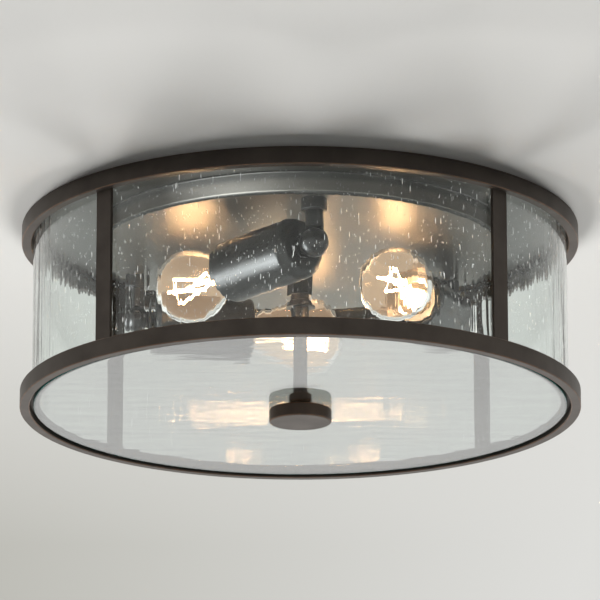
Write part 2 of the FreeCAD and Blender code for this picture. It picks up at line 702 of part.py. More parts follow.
def bulb_body(inset, back):
    """A solid with the bulb's form, smaller all round by the inset."""
    radius = BULB_R - inset
    neck_r = BULB_NECK_R - inset
    cone_end = BULB_CENTRE - radius * math.sin(BULB_SLOPE)
    cone_r = radius * math.cos(BULB_SLOPE)
    corner = cone_end - (cone_r - neck_r) / math.tan(BULB_SLOPE)
    points = [Vector(back, 0, 0), Vector(back, 0, neck_r), Vector(corner, 0, neck_r),
              Vector(cone_end, 0, cone_r)]
    edges = rounded_edges(points, [0, 0, BULB_NECK_BLEND + inset, 0], False)
    tip = Vector(BULB_CENTRE + radius, 0, 0)
    side = math.radians(90 - BULB_CONE_DEG) / 2
    middle = Vector(BULB_CENTRE + radius * math.sin(side), 0, radius * math.cos(side))
    edges.append(Part.Arc(points[-1], middle, tip).toShape())
    edges.append(Part.LineSegment(tip, points[0]).toShape())
    return Part.Face(Part.Wire(edges)).revolve(ORIGIN, AXIS_X, 360)


def bulb_glass():
    """The pear-shaped envelope, with a solid disc of glass at its foot."""
    return bulb_body(0, BULB_NECK_START).cut(bulb_body(BULB_WALL, MOUNT_START))


def bulb_base():
    """The screw base: a thin shell round the neck, a glass insulator and the tip contact."""
    foot_r = BULB_NECK_R - BULB_WALL
    corners = [(BASE_BACK - BASE_TIP_L, 0), (BASE_BACK - BASE_TIP_L, BASE_TIP_R, 1),
               (BASE_BACK - BASE_INSULATOR_L, BASE_TIP_R),
               (BASE_BACK - BASE_INSULATOR_L, BASE_INSULATOR_R, 1),
               (BASE_BACK, BASE_R - BASE_SHELL_T), (BASE_BACK, BASE_R),
               (BULB_NECK_START - FIT_GAP, BASE_R), (BULB_NECK_START - FIT_GAP, foot_r),
               (BASE_BACK + BASE_SHELL_T, foot_r), (BASE_BACK + BASE_SHELL_T, 0)]
    return turned(corners, AXIS_X)


def filament_ends(index):
    """The low and high end of one slanting filament."""
    turn = 360.0 / FILAMENT_COUNT * index
    low_turn = math.radians(turn)
    high_turn = math.radians(turn + FILAMENT_TWIST_DEG)
    low = Vector(0, math.cos(low_turn), math.sin(low_turn)) * FILAMENT_LOW_R
    high = Vector(0, math.cos(high_turn), math.sin(high_turn)) * FILAMENT_HIGH_R
    across = (high - low).Length
    rise = math.sqrt(FILAMENT_L ** 2 - across ** 2)
    return low + AXIS_X * FILAMENT_START, high + AXIS_X * (FILAMENT_START + rise)


def bar_between(start, end, radius):
    """A round bar from one point to another."""
    return Part.makeCylinder(radius, (end - start).Length, start, end - start)


def bulb_filaments():
    """The straight filaments, each between the tips of its two supports."""
    filaments = []
    for index in range(FILAMENT_COUNT):
        low, high = filament_ends(index)
        filaments.append(bar_between(low, high, FILAMENT_R))
    return Part.makeCompound(filaments)


def bulb_mount():
    """The glass foot, tube and rod, with a wire to each end of each filament."""
    tube_end = MOUNT_START + MOUNT_TUBE_L
    high_place = filament_ends(0)[1].x
    corners = [(MOUNT_START, 0), (MOUNT_START, MOUNT_FOOT_R), (MOUNT_START + MOUNT_FOOT_L, MOUNT_TUBE_R),
               (tube_end, MOUNT_TUBE_R), (tube_end + MOUNT_TUBE_R, MOUNT_ROD_R),
               (high_place, MOUNT_ROD_R), (high_place, HUB_R), (high_place + HUB_R, HUB_R),
               (high_place + HUB_R, 0)]
    mount = turned(corners, AXIS_X)
    for index in range(FILAMENT_COUNT):
        low, high = filament_ends(index)
        mount = mount.fuse(bar_between(Vector(tube_end, 0, 0), low, SUPPORT_R))
        mount = mount.fuse(bar_between(Vector(high.x + HUB_R / 2, 0, 0), high, SUPPORT_R))
    return mount.cut(bulb_filaments())


# ---- leads inside the pan -----------------------------------------------------------------

def bearing(degrees, radius, height):
    turn = math.radians(degrees)
    return Vector(radius * math.cos(turn), radius * math.sin(turn), height)


def wire_nut(degrees, depth):
    """A twist-on cap whose mouth faces the drum's axis."""
    end = WIRE_NUT_RADIUS_AT + WIRE_NUT_L
    floor = end - WIRE_NUT_FLOOR
    corners = [(WIRE_NUT_RADIUS_AT, WIRE_NUT_MOUTH_BORE_R), (WIRE_NUT_RADIUS_AT, WIRE_NUT_MOUTH_R),
               (end, WIRE_NUT_END_R, WIRE_NUT_FLOOR), (end, 0), (floor, 0),
               (floor, WIRE_NUT_END_BORE_R)]
    nut = turned(corners, AXIS_X)
    nut.translate(AXIS_Z * -depth)
    return around(nut, degrees)


def lead(index, nut_degrees, depth, side, bundle_turn):
    """One lead, from the inner or outer side of a stem's bore to the mouth of a wire nut."""
    stem = socket_places()[index]
    sideways = bearing(socket_angle(index), side * LEAD_PAIR_OFFSET, 0)
    start = stem + sideways + AXIS_Z * (LEAD_START_ABOVE_PIVOT - PIVOT_DEPTH)
    bend = stem + sideways - AXIS_Z * depth
    spread = bearing(nut_degrees + 90, LEAD_BUNDLE_R * math.cos(bundle_turn), 0)
    spread = spread + AXIS_Z * (LEAD_BUNDLE_R * math.sin(bundle_turn) - depth)
    inside = bearing(nut_degrees, WIRE_NUT_RADIUS_AT + LEAD_INSERT, 0) + spread
    approach = bearing(nut_degrees, WIRE_NUT_RADIUS_AT - LEAD_APPROACH, 0) + spread
    points = [start, bend, approach, inside]
    opposite = abs((socket_angle(index) - nut_degrees) % 360 - 180) < 1
    if opposite:
        detour = bearing(nut_degrees + 90, LEAD_DETOUR_R, -depth)
        points.insert(2, detour)
    radii = [0] * len(points)
    for i in range(1, len(points) - 1):
        back = points[i - 1] - points[i]
        ahead = points[i + 1] - points[i]
        half_turn = (math.pi - back.getAngle(ahead)) / 2
        radii[i] = LEAD_BEND_SHARE * min(back.Length, ahead.Length) / math.tan(half_turn)
    radii[1] = LEAD_EXIT_BEND_R
    return pipe(points, radii, LEAD_R)


def leads(nut_degrees, depth, side):
    """The three leads of one colour, bundled in their wire nut."""
    tubes = []
    for index in range(SOCKET_COUNT):
        tubes.append(lead(index, nut_degrees, depth, side, math.radians(120 * index + 90)))
    return Part.makeCompound(tubes)


BLACK_NUT_DEG = socket_angle(1) + 180
WHITE_NUT_DEG = socket_angle(0) + 180


# ---- the pieces ---------------------------------------------------------------------------

def all_pieces():
    pieces = {
        "crossbar": crossbar(),
        "earth_screw": earth_screw(),
        "centre_nipple": centre_nipple(),
        "lock_nuts": lock_nuts(),
        "ceiling_pan": ceiling_pan(),
        "pan_screws": pan_screws(),
        "top_ring": top_ring(),
        "bottom_ring": bottom_ring(),
        "post_screws": post_screws(),
        "glass_cylinder": glass_cylinder(),
        "top_gasket": gasket(CYLINDER_TOP_Z, TOP_GASKET_T, CYLINDER_R),
        "cylinder_gasket": gasket(LOW_LEDGE_TOP_Z, CYLINDER_GASKET_T, CYLINDER_R),
        "bottom_gasket": gasket(GLASS_TOP_Z, BOTTOM_GASKET_T, BOTTOM_GLASS_R),
        "rod_coupling": rod_coupling(),
        "cup_washer": cup_washer(),
        "centre_rod": centre_rod(),
        "collar_nut": collar_nut(),
        "bottom_glass": bottom_glass(),
        "glass_washers": glass_washers(),
        "finial_knob": finial_knob(),
        "black_leads": leads(BLACK_NUT_DEG, BLACK_LEAD_DEPTH, -1),
        "white_leads": leads(WHITE_NUT_DEG, WHITE_LEAD_DEPTH, 1),
        "wire_nuts": Part.makeCompound([wire_nut(BLACK_NUT_DEG, BLACK_LEAD_DEPTH),
                                        wire_nut(WHITE_NUT_DEG, WHITE_LEAD_DEPTH)]),
    }
    for number, angle in enumerate(post_angles(), 1):
        pieces[f"post_{number}"] = around(post(), angle)
    socket_pieces = {
        "socket_stem": (socket_stem(), False), "socket_nuts": (socket_nuts(), False),
        "pivot_screw": (pivot_screw(), False), "swivel_knuckle": (swivel_knuckle(), True),
        "socket_cup": (socket_cup(), True), "lamp_holder": (lamp_holder(), True),
        "lamp_contacts": (lamp_contacts(), True), "bulb_base": (bulb_base(), True),
        "bulb_glass": (bulb_glass(), True), "bulb_mount": (bulb_mount(), True),
        "bulb_filaments": (bulb_filaments(), True),
    }
    for index in range(SOCKET_COUNT):
        for name, (shape, droops) in socket_pieces.items():
            pieces[f"{name}_{index + 1}"] = place_socket(shape, index, droops)
    return pieces


def main():
    os.makedirs("parts", exist_ok=True)
    for name, shape in all_pieces().items():
        shape.exportStep(f"parts/{name}.step")
        print(name, len(shape.Solids), round(shape.Volume, 1), shape.isValid())


main()
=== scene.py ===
"""Porch ceiling lantern: finishes, seeded glass, bulbs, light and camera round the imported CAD."""

import json
import math
import random

import bpy
import numpy as np
from mathutils import Matrix, Vector


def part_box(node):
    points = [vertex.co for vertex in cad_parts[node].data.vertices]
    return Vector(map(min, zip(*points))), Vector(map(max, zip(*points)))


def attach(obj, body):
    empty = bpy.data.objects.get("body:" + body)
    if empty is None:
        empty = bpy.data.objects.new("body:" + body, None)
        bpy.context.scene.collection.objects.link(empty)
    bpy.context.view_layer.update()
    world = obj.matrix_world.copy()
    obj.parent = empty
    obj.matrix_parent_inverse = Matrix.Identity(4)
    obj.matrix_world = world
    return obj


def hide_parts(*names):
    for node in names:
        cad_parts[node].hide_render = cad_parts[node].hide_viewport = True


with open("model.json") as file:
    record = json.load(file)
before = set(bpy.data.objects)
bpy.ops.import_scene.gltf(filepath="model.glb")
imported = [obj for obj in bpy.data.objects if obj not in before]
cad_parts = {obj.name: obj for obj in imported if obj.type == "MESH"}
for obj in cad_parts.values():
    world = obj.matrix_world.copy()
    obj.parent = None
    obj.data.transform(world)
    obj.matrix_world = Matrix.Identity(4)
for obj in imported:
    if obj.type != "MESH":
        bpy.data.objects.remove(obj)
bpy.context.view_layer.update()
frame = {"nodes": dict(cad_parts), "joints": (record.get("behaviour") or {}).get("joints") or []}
nodes = frame["nodes"]
joints = {joint["name"]: joint for joint in frame["joints"]}

SOCKETS = (1, 2, 3)
POSTS = (1, 2, 3, 4)
AXIS_R = 1e-5  # a radius that stands for the axis itself

# ---- glass, sizes in metres -----------------------------------------------------------------

CYLINDER_WALL = 0.0035
CYLINDER_EDGE = 0.0006
CYLINDER_WAVE = 0.00030
CYLINDER_STEPS = 720
CYLINDER_ROWS = 40
OUTER_WAVE = 3
INNER_WAVE = 8
WAVE_TURNS = (9, 17, 26, 41, 58, 83)
WAVE_RISES = (18, 31)
WAVE_RISE_SIZE = 0.012

SEED_COUNT = 6000
SEED_DRAW = 11
SEED_WIDTHS = (0.00015, 0.00018, 0.00022, 0.00027, 0.00034)
SEED_STRETCHES = (1.2, 1.5, 2.0, 3.2, 8.0)
SEED_FLATNESS = 0.8
SEED_DEPTH = 0.0012
SEED_END_GAP = 0.004

PANE_RIPPLE = 0.00005
PANE_HOLE_R = 0.0056
PANE_BEVEL = 0.0004
PANE_STEPS = 360
PANE_RINGS = 110
RIPPLE_RIM_FADE = 0.004
RIPPLE_HOLE_FADE = 0.006
UNDERSIDE_RIPPLE = 5
UPPER_RIPPLE = 6
RIPPLE_TERMS = ((60, 12), (95, 22), (150, 31), (235, 60), (330, 70))

# ---- bulbs, in metres from the swivel's pivot along the cup ---------------------------------

BULB_R = 0.030
BULB_WALL = 0.0004
BULB_NECK_R = 0.0129
BULB_CONE = math.radians(23.0)
BULB_NECK_BLEND = 0.014
BULB_STEPS = 96
BLEND_STEPS = 8
CONE_STEPS = 6
CROWN_STEPS = 40
NECK_START = 0.0935
NECK_END = 0.0996
CONE_END = NECK_END + (BULB_R * math.cos(BULB_CONE) - BULB_NECK_R) / math.tan(BULB_CONE)
BULB_CENTRE = CONE_END + BULB_R * math.sin(BULB_CONE)

BASE_R = 0.0130
BASE_BACK = 0.0690
BASE_FRONT = 0.0950
THREAD_PITCH = 0.0036
THREAD_DEPTH = 0.0007
THREAD_ROWS = 78
THREAD_START = BASE_BACK + 0.0022
THREAD_LENGTH = BASE_FRONT - 0.0052 - BASE_BACK
# the base's tip contact and shoulder, and its rim: place from the back or the front, and radius
BASE_TIP = ((-0.0036, AXIS_R), (-0.0036, 0.0036), (-0.0030, 0.0045), (-0.0024, 0.0045),
            (-0.0023, 0.0085), (-0.0008, 0.0112), (0.0, BASE_R - 0.0008))
BASE_RIM = ((-0.0026, BASE_R - 0.0004), (-0.0004, BASE_R - 0.0002), (0.0, BASE_R - 0.0001),
            (0.0, BULB_NECK_R + 0.00003))

# ---- stage, in metres, watts and the world's strength ---------------------------------------

CEILING_Z = 0.00005
CEILING_RINGS = (0.2262, 0.5, 2.0, 9.0)
CEILING_STEPS = 128

ROOM_COLOUR = (1.0, 0.995, 0.975, 1.0)
AMBIENT = 0.11
ROOM_LEVELS = (("Is Camera Ray", 0.92), ("Is Transmission Ray", 0.85), ("Is Glossy Ray", 1.12))
BACK_LIGHTS = (("left back light", 0.42, 6.9), ("right back light", -0.30, 5.7))
BACK_LIGHT_RISE = 0.265
BACK_LIGHT_ANGLE = math.radians(24.0)
BACK_LIGHT_COLOUR = (1.0, 0.99, 0.97)
SIDE_LIGHT_PLACE = (-3.2, 0.4, -1.6)
WINDOW_LIGHT_PLACE = (-2.6, -3.0, -1.4)
WINDOW_COLOUR = (0.95, 0.98, 1.0)
LANTERN_MIDDLE = (0, 0, -0.08)
FILAMENT_STRENGTH = 50.0
INDIRECT_LIMIT = 60.0

CAMERA_PLACE = (-0.03711, -4.14879, -1.26557)
CAMERA_TURN = -0.008912
CAMERA_RISE = 0.283006
CAMERA_ROLL = -0.0014253
CAMERA_LENS = 316.298


# ---- meshes ---------------------------------------------------------------------------------

def piece(name, verts, faces, material, body, smooth=True):
    """Makes a mesh piece that rides on a body, or belongs to the stage where body is None."""
    mesh = bpy.data.meshes.new(name)
    mesh.from_pydata([tuple(v) for v in verts], [], faces)
    mesh.update()
    mesh.polygons.foreach_set("use_smooth", [smooth] * len(mesh.polygons))
    mesh.materials.append(material)
    obj = bpy.data.objects.new(name, mesh)
    bpy.context.scene.collection.objects.link(obj)
    if body is None:
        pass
    else:
        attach(obj, body)
    return obj


def loop_faces(rows, steps, closed_rows):
    """Quads of a grid whose rows are closed rings; closed_rows joins the last row to the first."""
    faces = []
    for i in range(rows if closed_rows else rows - 1):
        below, above = i * steps, (i + 1) % rows * steps
        for j in range(steps):
            k = (j + 1) % steps
            faces.append((below + j, below + k, above + k, above + j))
    return faces


def shifted(faces, start):
    return [tuple(start + i for i in face) for face in faces]


def flipped(faces):
    return [tuple(reversed(face)) for face in faces]


def lathe(profile, place, twist=None):
    """Verts and faces of a turned form: profile pairs are place along X and radius.

    A profile that ends on the axis is closed there by one face; twist(i, angle) may add to a
    radius."""
    verts = []
    for i, (along, radius) in enumerate(profile):
        for j in range(BULB_STEPS):
            angle = 2 * math.pi * j / BULB_STEPS
            r = radius + (twist(i, angle) if twist else 0.0)
            verts.append(place @ Vector((along, r * math.cos(angle), r * math.sin(angle))))
    faces = loop_faces(len(profile), BULB_STEPS, False)
    for row in (0, len(profile) - 1):
        if profile[row][1] == AXIS_R:
            ring = [row * BULB_STEPS + j for j in range(BULB_STEPS)]
            faces.append(tuple(ring if row else reversed(ring)))
    return verts, faces


def arc(centre, radius, start, end, count):
    """Points of an arc in the (along, radius) plane; angles are from the +along direction."""
    points = []
    for i in range(count + 1):
        angle = start + (end - start) * i / count
        points.append((centre[0] + radius * math.cos(angle),
                       centre[1] + radius * math.sin(angle)))
    return points


# ---- materials ------------------------------------------------------------------------------

class Finish:
    """A material's node tree, with short calls to add and join nodes."""

    def __init__(self, name):
        self.material = bpy.data.materials.new(name)
        self.material.use_nodes = True
        self.tree = self.material.node_tree
        self.tree.nodes.clear()
        self.output = self.tree.nodes.new("ShaderNodeOutputMaterial")

    def add(self, kind, inputs=None, **settings):
        node = self.tree.nodes.new("ShaderNode" + kind)
        for key, value in settings.items():
            setattr(node, key, value)
        for key, value in (inputs or {}).items():
            if isinstance(value, bpy.types.NodeSocket):
                self.tree.links.new(value, node.inputs[key])
            else:
                node.inputs[key].default_value = value
        return node

    def noise(self, scale, detail, stretch=(1.0, 1.0, 1.0)):
        place = self.add("TexCoord").outputs["Object"]
        place = self.add("Mapping", {"Vector": place, "Scale": stretch}).outputs["Vector"]
        texture = self.add("TexNoise", {"Vector": place, "Scale": scale, "Detail": detail})
        return texture.outputs["Fac"]

    def spread(self, value, low, high, start=0.3, end=0.7):
        """Maps a value from start..end to low..high."""
        node = self.add("MapRange", {"Value": value, "From Min": start, "From Max": end,
                                     "To Min": low, "To Max": high})
        return node.outputs["Result"]

    def colours(self, value, *stops):
        """A colour ramp; each stop is a place and a colour."""
        node = self.add("ValToRGB", {"Fac": value})
        ramp = node.color_ramp
        while len(ramp.elements) < len(stops):
            ramp.elements.new(0.5)
        for element, (place, colour) in zip(ramp.elements, stops):
            element.position = place
            element.color = (*colour, 1.0)
        return node.outputs["Color"]

    def blend(self, factor, first, second):
        node = self.add("Mix", {"Factor": factor}, data_type="RGBA")
        for socket, value in ((node.inputs[6], first), (node.inputs[7], second)):
            if isinstance(value, bpy.types.NodeSocket):
                self.tree.links.new(value, socket)
            else:
                socket.default_value = (*value, 1.0)
        return node.outputs[2]

    def bump(self, height, strength, distance):
        node = self.add("Bump", {"Height": height, "Strength": strength, "Distance": distance})
        return node.outputs["Normal"]

    def surface(self, shader):
        self.tree.links.new(shader, self.output.inputs["Surface"])
        return self.material

    def solid(self, **sockets):
        """Ends the tree in a Principled shader; an underscore stands for a space."""
        inputs = {key.replace("_", " "): value for key, value in sockets.items()}
        shader = self.add("BsdfPrincipled", inputs)
        return self.surface(shader.outputs["BSDF"])

    def glass(self, tint, ior, normal, painted_glow=None, shade=(1.0, 1.0, 1.0)):
        """Clear glass that lets lamplight through; shade is what it takes from that light."""
        inputs = {"Base Color": (*tint, 1.0), "Roughness": 0.0, "IOR": ior,
                  "Transmission Weight": 1.0, "Normal": normal}
        # painted glow: emission on the glass itself, which is no lamp
        if painted_glow:
            inputs["Emission Color"] = (*painted_glow[0], 1.0)
            inputs["Emission Strength"] = painted_glow[1]
        shader = self.add("BsdfPrincipled", inputs).outputs["BSDF"]
        clear = self.add("BsdfTransparent", {"Color": (*shade, 1.0)}).outputs["BSDF"]
        is_shadow = self.add("LightPath").outputs["Is Shadow Ray"]
        mix = self.add("MixShader", {0: is_shadow, 1: shader, 2: clear})
        return self.surface(mix.outputs["Shader"])


def edge_mask(finish):
    """White on faces that lean between flat and upright, such as bevels and roundings."""
    normal = finish.add("NewGeometry").outputs["Normal"]
    lean = finish.add("SeparateXYZ", {"Vector": normal}).outputs["Z"]
    lean = finish.add("Math", {0: lean}, operation="ABSOLUTE").outputs["Value"]
    return finish.colours(lean, (0.20, (0, 0, 0)), (0.45, (1, 1, 1)), (0.88, (1, 1, 1)),
                          (0.98, (0, 0, 0)))


def bronze(name, dark, light, edge, rough, level):
    """Satin oil-rubbed bronze: a mottled dark coat; if an edge colour is given, bevels and
    roundings turn coppery, partly as rubbed wear and partly as a painted highlight.
    """
    finish = Finish(name)
    mottle = finish.noise(38.0, 4.0)
    coat = finish.colours(mottle, (0.32, dark), (0.68, light))
    if edge:
        # the coppery edge colour is partly rubbed wear and partly a painted highlight of warm
        # lamplight on the bevels
        wear_and_highlight_mask = finish.spread(finish.noise(160.0, 3.0), 0.25, 1.0, 0.35, 0.60)
        wear_and_highlight_mask = finish.add("Math", {0: wear_and_highlight_mask, 1: edge_mask(finish)}, operation="MULTIPLY")
        coat = finish.blend(wear_and_highlight_mask.outputs["Value"], coat, edge)
    gloss = finish.spread(finish.noise(45.0, 3.0), rough - 0.02, rough + 0.03)
    return finish.solid(Base_Color=coat, Metallic=0.45, Roughness=gloss,
                        Specular_IOR_Level=level)


def brushed_pan():
    """Thin spun sheet with a straight brush along X, so lamps smear across the brush; the
    flange is darker, and the bends are painted near black as shade in the creases."""
    finish = Finish("brushed pan")
    tone = finish.noise(9.0, 3.0, (0.35, 1.0, 1.0))
    sheet = finish.colours(tone, (0.30, (0.245, 0.228, 0.205)), (0.70, (0.292, 0.273, 0.246)))
    height = finish.add("TexCoord").outputs["Object"]
    height = finish.add("SeparateXYZ", {"Vector": height}).outputs["Z"]
    flange = finish.spread(height, 0.0, 1.0, -0.0100, -0.0060)
    sheet = finish.blend(flange, sheet, (0.165, 0.161, 0.152))
    # painted shade: the sheet's bends and roundings are painted near black, as shade in its creases
    sheet = finish.blend(edge_mask(finish), sheet, (0.070, 0.068, 0.064))
    streak = finish.noise(3200.0, 2.0, (0.02, 1.0, 1.0))
    gloss = finish.spread(streak, 0.39, 0.45)
    grain = finish.bump(streak, 0.04, 0.00001)
    along = finish.add("Tangent", direction_type="RADIAL", axis="X").outputs["Tangent"]
    return finish.solid(Base_Color=sheet, Metallic=1.0, Roughness=gloss, Anisotropic=0.30,
                        Tangent=along, Normal=grain)


def plain_metal(name, dark, light, rough):
    finish = Finish(name)
    tone = finish.colours(finish.noise(60.0, 4.0), (0.3, dark), (0.7, light))
    gloss = finish.spread(finish.noise(240.0, 3.0), rough - 0.06, rough + 0.08)
    grain = finish.bump(finish.noise(1200.0, 2.0), 0.2, 0.00004)
    return finish.solid(Base_Color=tone, Metallic=1.0, Roughness=gloss, Normal=grain)


def moulded(name, dark, light, rough, scale, height):
    """Plastic, rubber or glazed ceramic: mottled colour and a fine moulded skin."""
    finish = Finish(name)
    tone = finish.colours(finish.noise(scale, 3.0), (0.3, dark), (0.7, light))
    gloss = finish.spread(finish.noise(scale * 2, 2.0), rough - 0.05, rough + 0.06)
    skin = finish.bump(finish.noise(1800.0, 2.0), 0.3, height)
    return finish.solid(Base_Color=tone, Roughness=gloss, Normal=skin)


def seeded_glass():
    """Glass with upright draw lines, broad ones and fine ones on them."""
    finish = Finish("seeded glass")
    drawn = finish.noise(70.0, 2.0, (1.0, 1.0, 0.12))
    fine = finish.noise(260.0, 1.0, (1.0, 1.0, 0.08))
    lines = finish.add("Math", {0: fine, 1: 0.12, 2: drawn}, operation="MULTIPLY_ADD")
    uneven = finish.bump(lines.outputs["Value"], 0.45, 0.0008)
    return finish.glass((0.90, 0.94, 0.93), 1.42, uneven)


def seed_air():
    """A bubble in the glass: half clear, and half a pale diffuse and translucent skin, a painted
    glint for the light that a clear bubble bends and mirrors.
    """
    finish = Finish("seed air")
    patch = finish.noise(240.0, 1.0)
    # painted glint: a pale colour on what is a clear air bubble
    painted_glint_colour = finish.colours(patch, (0.3, (0.62, 0.64, 0.63)), (0.7, (0.95, 0.96, 0.95)))
    painted_glint_translucent = finish.add("BsdfTranslucent", {"Color": painted_glint_colour}).outputs["BSDF"]
    face = finish.add("BsdfDiffuse", {"Color": painted_glint_colour}).outputs["BSDF"]
    lit = finish.add("MixShader", {0: 0.5, 1: painted_glint_translucent, 2: face}).outputs["Shader"]
    clear = finish.add("BsdfTransparent").outputs["BSDF"]
    mix = finish.add("MixShader", {0: 0.5, 1: clear, 2: lit})
    return finish.surface(mix.outputs["Shader"])


def pane_glass():
    """Faintly grey rolled glass with ripples along X."""
    finish = Finish("pane glass")
    rolled = finish.noise(70.0, 3.0, (0.16, 1.0, 1.0))
    return finish.glass((0.56, 0.585, 0.575), 1.52, finish.bump(rolled, 0.26, 0.0003))


def blown_glass(name, tint, ior, scale, painted_glow, shade=(1.0, 1.0, 1.0)):
    """Clear glass with the faint unevenness that blowing leaves, and a painted glow: emission on
    the glass itself that stands for the filaments' warm haze.
    """
    finish = Finish(name)
    uneven = finish.bump(finish.noise(scale, 2.0), 0.03, 0.02 / scale)
    return finish.glass(tint, ior, uneven, painted_glow, shade)


def filament_light():
    """The lantern's own light."""
    finish = Finish("filament")
    patch = finish.noise(300.0, 2.0)
    colour = finish.colours(patch, (0.3, (1.0, 0.61, 0.31)), (0.7, (1.0, 0.68, 0.39)))
    shader = finish.add("Emission", {"Color": colour, "Strength": FILAMENT_STRENGTH})
    return finish.surface(shader.outputs["Emission"])


# the third colour is the coppery edge: rubbed wear and a painted highlight on bevels
FRAME_BRONZE = bronze("bronze", (0.060, 0.050, 0.043), (0.082, 0.069, 0.059),
                      (0.15, 0.090, 0.060), 0.46, 0.10)
LAMP_BRONZE = bronze("lamp bronze", (0.040, 0.038, 0.037), (0.055, 0.053, 0.052),
                     None, 0.30, 0.80)
PAN = brushed_pan()
ZINC = plain_metal("zinc plate", (0.42, 0.42, 0.40), (0.66, 0.66, 0.62), 0.36)
BRASS = plain_metal("brass", (0.55, 0.38, 0.14), (0.80, 0.60, 0.28), 0.28)
BASE_METAL = plain_metal("bulb base metal", (0.58, 0.56, 0.52), (0.76, 0.74, 0.70), 0.26)
CERAMIC = moulded("ceramic", (0.70, 0.68, 0.63), (0.84, 0.83, 0.79), 0.22, 30.0, 0.00002)
RUBBER = moulded("gasket rubber", (0.014, 0.014, 0.014), (0.032, 0.031, 0.030),
                 0.62, 80.0, 0.00006)
BLACK_WIRE = moulded("black insulation", (0.012, 0.012, 0.012), (0.030, 0.030, 0.030),
                     0.45, 60.0, 0.00003)
WHITE_WIRE = moulded("white insulation", (0.66, 0.66, 0.63), (0.82, 0.82, 0.80),
                     0.45, 60.0, 0.00003)
WIRE_NUT = moulded("wire nut plastic", (0.50, 0.15, 0.02), (0.72, 0.26, 0.05),
                   0.40, 50.0, 0.00004)
SEEDED = seeded_glass()
SEED_AIR = seed_air()
PANE = pane_glass()
PANE_EDGE = moulded("pane edge", (0.006, 0.060, 0.055), (0.012, 0.16, 0.14), 0.15, 40.0, 0.00002)
# painted glow: the bulb glass is tinted amber and faintly emissive, to paint the lit bulb's warm
# glow
BULB_SKIN = blown_glass("bulb glass", (1.0, 0.90, 0.81), 1.10, 40.0, ((1.0, 0.70, 0.46), 0.08),
                        (0.42, 0.37, 0.31))
# painted glow: the glass mount inside the bulb is made to shine, though it is no lamp
MOUNT_SKIN = blown_glass("mount glass", (0.97, 0.93, 0.86), 1.35, 140.0,
                         ((1.0, 0.74, 0.46), 3.0))
FILAMENT = filament_light()

node_finish = {
    "crossbar": ZINC, "earth_screw": BRASS, "centre_nipple": ZINC, "lock_nuts": ZINC,
    "ceiling_pan": PAN, "pan_screws": ZINC, "top_ring": FRAME_BRONZE, "bottom_ring": FRAME_BRONZE,
    "post_screws": FRAME_BRONZE, "top_gasket": RUBBER, "cylinder_gasket": RUBBER,
    "bottom_gasket": RUBBER, "rod_coupling": LAMP_BRONZE, "cup_washer": LAMP_BRONZE,
    "centre_rod": LAMP_BRONZE, "collar_nut": FRAME_BRONZE, "glass_washers": RUBBER,
    "finial_knob": FRAME_BRONZE, "black_leads": BLACK_WIRE, "white_leads": WHITE_WIRE,
    "wire_nuts": WIRE_NUT,
}
for number in POSTS:
    node_finish[f"post_{number}"] = FRAME_BRONZE
for number in SOCKETS:
    for name in ("socket_stem", "socket_nuts", "swivel_knuckle", "socket_cup", "pivot_screw"):
        node_finish[f"{name}_{number}"] = LAMP_BRONZE
    node_finish[f"lamp_holder_{number}"] = CERAMIC
    node_finish[f"lamp_contacts_{number}"] = BRASS
    node_finish[f"bulb_mount_{number}"] = MOUNT_SKIN
    node_finish[f"bulb_filaments_{number}"] = FILAMENT
for name, material in node_finish.items():
    for slot in nodes[name].material_slots:
        slot.material = material


# ---- seeded glass cylinder ------------------------------------------------------------------

def wave(angle, height, seed):
    """A smooth drawn-glass wave from 0 to 1: many lines round the drum, long in height."""
    rng = random.Random(seed)
    total = 0.0
    weight = 0.0
    for turns in WAVE_TURNS:
        phase = rng.uniform(0, 2 * math.pi)
        lean = rng.uniform(-9, 9)
        size = 1.0 / turns
        total += size * math.sin(turns * angle + lean * height + phase)
        weight += size
    for rise in WAVE_RISES:
        turns = rng.randint(3, 11)
        total += WAVE_RISE_SIZE * math.sin(turns * angle + rise * height + rng.uniform(0, 6))
        weight += WAVE_RISE_SIZE
    return 0.5 + 0.5 * total / weight


def glass_cylinder():
    """The wavy wall with green ends; gives its outer and inner radius and its heights."""
    low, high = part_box("glass_cylinder")
    outer = high[0]
    inner = outer - CYLINDER_WALL
    heights = np.linspace(low[2] + CYLINDER_EDGE, high[2] - CYLINDER_EDGE, CYLINDER_ROWS)
    outer_edge, inner_edge = outer - CYLINDER_EDGE, inner + CYLINDER_EDGE
    # each row: its height, its radius, and how far and by which seed it waves
    rows = [(h, outer, -CYLINDER_WAVE, OUTER_WAVE) for h in heights]
    rows += [(high[2], outer_edge, 0.0, 0), (high[2], inner_edge, 0.0, 0)]
    rows += [(h, inner, CYLINDER_WAVE, INNER_WAVE) for h in heights[::-1]]
    rows += [(low[2], inner_edge, 0.0, 0), (low[2], outer_edge, 0.0, 0)]
    verts = []
    for height, mean, reach, seed in rows:
        for j in range(CYLINDER_STEPS):
            angle = 2 * math.pi * j / CYLINDER_STEPS
            radius = mean + (reach * wave(angle, height, seed) if reach else 0.0)
            verts.append((radius * math.cos(angle), radius * math.sin(angle), height))
    faces = loop_faces(len(rows), CYLINDER_STEPS, True)
    wall = piece("seeded_glass_wall", verts, faces, SEEDED, "frame")
    wall.data.materials.append(PANE_EDGE)
    for row in (CYLINDER_ROWS, 2 * CYLINDER_ROWS + 2):
        for polygon in wall.data.polygons[row * CYLINDER_STEPS:(row + 1) * CYLINDER_STEPS]:
            polygon.material_index = 1
    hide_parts("glass_cylinder")
    return outer, inner, low[2], high[2]


